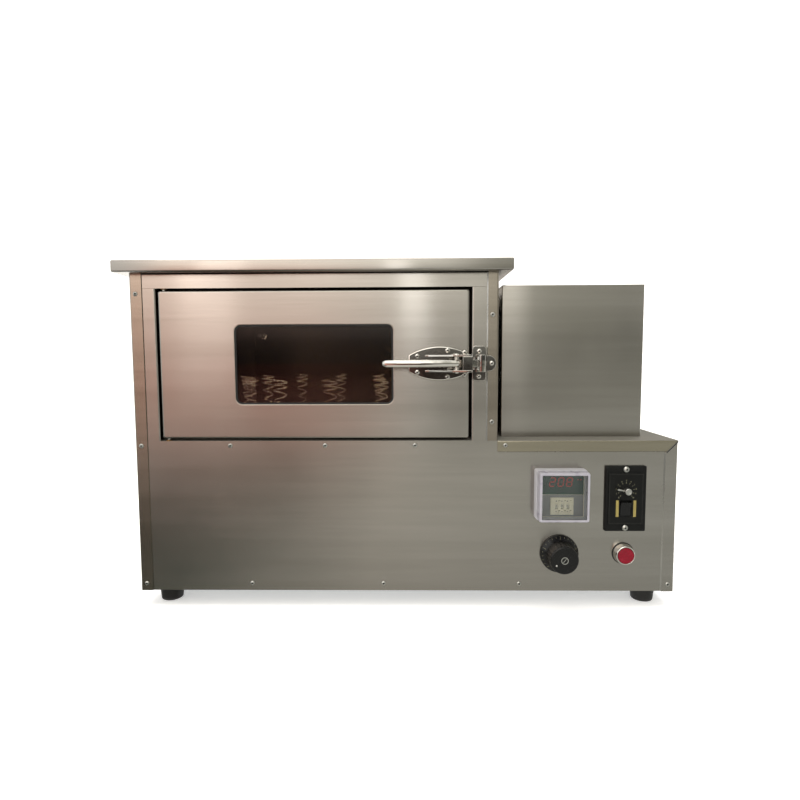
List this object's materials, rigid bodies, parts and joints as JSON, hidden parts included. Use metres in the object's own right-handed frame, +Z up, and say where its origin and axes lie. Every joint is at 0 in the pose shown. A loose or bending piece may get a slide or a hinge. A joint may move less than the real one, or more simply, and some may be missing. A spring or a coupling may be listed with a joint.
{
  "type": "rotary bench oven",
  "caption": "Electric bench oven in folded stainless steel: glazed side-hinged door, turntable of wire cone holders, fan box and a control panel on the base.",
  "frame": {"origin": "on the floor under the centre of the bounding box", "axes": "+X to the right seen from the front, along the cabinet; -Y out of the front, where the door and controls are; +Z up"},
  "size_m": [0.7986, 0.523, 0.502],
  "materials": {
    "brushed_stainless": "brushed along the sheet",
    "liner_sheet": "mill finish, heat tinted",
    "galvanised_sheet": "dull",
    "bright_steel": "ground",
    "polished_chrome": "polished",
    "foot_rubber": "matte",
    "seal_rubber": "matte silicone",
    "mineral_wool": "fibrous",
    "element_sheath": "oxidised dark",
    "motor_casting": "semi-gloss",
    "bearing_bronze": "dull",
    "oven_glass": "polished, smoked",
    "dark_frame": "matte",
    "pale_plastic": "satin",
    "display_face": "satin",
    "clear_plastic": "clear moulded plastic",
    "ivory_plastic": "satin",
    "black_plastic": "fine grain",
    "knob_plastic": "semi-gloss",
    "satin_aluminium": "satin",
    "red_plastic": "gloss"
  },
  "bodies": {
    "cabinet": {"base_pan": "galvanised_sheet", "base_front_panel": "brushed_stainless", "left_side_panel": "brushed_stainless", "base_right_panel": "brushed_stainless", "base_deck": "brushed_stainless", "base_rear_panel": "brushed_stainless", "rubber_feet": "foot_rubber", "oven_front_frame": "brushed_stainless", "oven_right_panel": "brushed_stainless", "oven_rear_panel": "brushed_stainless", "top_cover": "brushed_stainless", "chamber_liner": "liner_sheet", "chamber_insulation": "mineral_wool", "insulation_tray": "galvanised_sheet", "fan_box": "brushed_stainless", "heating_elements": "element_sheath", "temperature_probe": "bright_steel", "fan_guard": "liner_sheet", "fan_motor": "motor_casting", "latch_strike": "polished_chrome", "hinge_bushes": "bearing_bronze", "gear_motor": "motor_casting", "shaft_bearing": "bearing_bronze", "controller_case": "pale_plastic", "controller_face": "display_face", "speed_control": "black_plastic", "thermostat_body": "black_plastic", "button_housing": "satin_aluminium", "cable_gland": "black_plastic", "panel_fasteners": "satin_aluminium", "heater_relay": "black_plastic"},
    "door": {"door_outer_skin": "brushed_stainless", "door_inner_pan": "liner_sheet", "window_panes": "oven_glass", "window_spacer": "dark_frame", "door_seal": "seal_rubber", "door_insulation": "mineral_wool", "door_hinge_pins": "bright_steel", "latch_base": "polished_chrome", "latch_pin": "polished_chrome"},
    "lever": {"latch_lever": "polished_chrome"},
    "turntable": {"carousel_shaft": "bright_steel", "carousel_plate": "liner_sheet", "cone_holders": "bright_steel", "hub_nut": "bright_steel"},
    "fan": {"fan_wheel": "bright_steel"},
    "dial": {"speed_dial": "satin_aluminium"},
    "rocker": {"run_stop_rocker": "black_plastic"},
    "knob": {"thermostat_knob": "knob_plastic"},
    "button": {"button_cap": "red_plastic"},
    "cover": {"controller_cover": "clear_plastic"},
    "wheel_1": {"thumbwheel_1": "ivory_plastic"},
    "wheel_2": {"thumbwheel_2": "ivory_plastic"},
    "wheel_3": {"thumbwheel_3": "ivory_plastic"},
    "plus_1": {"plus_pusher_1": "ivory_plastic"},
    "plus_2": {"plus_pusher_2": "ivory_plastic"},
    "plus_3": {"plus_pusher_3": "ivory_plastic"},
    "minus_1": {"minus_pusher_1": "ivory_plastic"},
    "minus_2": {"minus_pusher_2": "ivory_plastic"},
    "minus_3": {"minus_pusher_3": "ivory_plastic"}
  },
  "joints": [
    {"name": "door_hinge", "type": "hinge", "parent": "cabinet", "child": "door", "pos_m": [-0.33415, -0.2245, 0.26495], "axis": [0, 0, -1], "range_deg": [0, 110]},
    {"name": "latch_lever_pivot", "type": "hinge", "parent": "door", "child": "lever", "pos_m": [0.08125, -0.251, 0.3565], "axis": [0, 0, 1], "range_deg": [0, 25], "stiffness_Nm_per_rad": 0.05},
    {"name": "turntable_spin", "type": "hinge", "parent": "cabinet", "child": "turntable", "pos_m": [-0.12, 0.0087, 0.26], "axis": [0, 0, 1], "continuous": true},
    {"name": "fan_spin", "type": "hinge", "parent": "cabinet", "child": "fan", "pos_m": [0.09475, 0.0087, 0.374], "axis": [1, 0, 0], "continuous": true},
    {"name": "speed_dial_turn", "type": "hinge", "parent": "cabinet", "child": "dial", "pos_m": [0.32565, -0.2355, 0.174], "axis": [0, 1, 0], "range_deg": [-55, 215]},
    {"name": "run_stop_rock", "type": "hinge", "parent": "cabinet", "child": "rocker", "pos_m": [0.32565, -0.2305, 0.148], "axis": [-1, 0, 0], "range_deg": [0, 16]},
    {"name": "thermostat_turn", "type": "hinge", "parent": "cabinet", "child": "knob", "pos_m": [0.23285, -0.2305, 0.0803], "axis": [0, 1, 0], "range_deg": [0, 270]},
    {"name": "button_push", "type": "slide", "parent": "cabinet", "child": "button", "axis": [0, 1, 0], "range_m": [0, 0.0035], "stiffness_N_per_m": 200},
    {"name": "cover_hinge", "type": "hinge", "parent": "cabinet", "child": "cover", "pos_m": [0.23155, -0.2468, 0.2026], "axis": [-1, 0, 0], "range_deg": [0, 90]},
    {"name": "thumbwheel_1_turn", "type": "hinge", "parent": "cabinet", "child": "wheel_1", "pos_m": [0.2247, -0.2351, 0.1538], "axis": [1, 0, 0], "continuous": true},
    {"name": "thumbwheel_2_turn", "type": "hinge", "parent": "cabinet", "child": "wheel_2", "pos_m": [0.23245, -0.2351, 0.1538], "axis": [1, 0, 0], "continuous": true},
    {"name": "thumbwheel_3_turn", "type": "hinge", "parent": "cabinet", "child": "wheel_3", "pos_m": [0.2402, -0.2351, 0.1538], "axis": [1, 0, 0], "continuous": true},
    {"name": "plus_1_push", "type": "slide", "parent": "cabinet", "child": "plus_1", "axis": [0, 1, 0], "range_m": [0, 0.0012], "stiffness_N_per_m": 200},
    {"name": "plus_2_push", "type": "slide", "parent": "cabinet", "child": "plus_2", "axis": [0, 1, 0], "range_m": [0, 0.0012], "stiffness_N_per_m": 200},
    {"name": "plus_3_push", "type": "slide", "parent": "cabinet", "child": "plus_3", "axis": [0, 1, 0], "range_m": [0, 0.0012], "stiffness_N_per_m": 200},
    {"name": "minus_1_push", "type": "slide", "parent": "cabinet", "child": "minus_1", "axis": [0, 1, 0], "range_m": [0, 0.0012], "stiffness_N_per_m": 200},
    {"name": "minus_2_push", "type": "slide", "parent": "cabinet", "child": "minus_2", "axis": [0, 1, 0], "range_m": [0, 0.0012], "stiffness_N_per_m": 200},
    {"name": "minus_3_push", "type": "slide", "parent": "cabinet", "child": "minus_3", "axis": [0, 1, 0], "range_m": [0, 0.0012], "stiffness_N_per_m": 200}
  ]
}
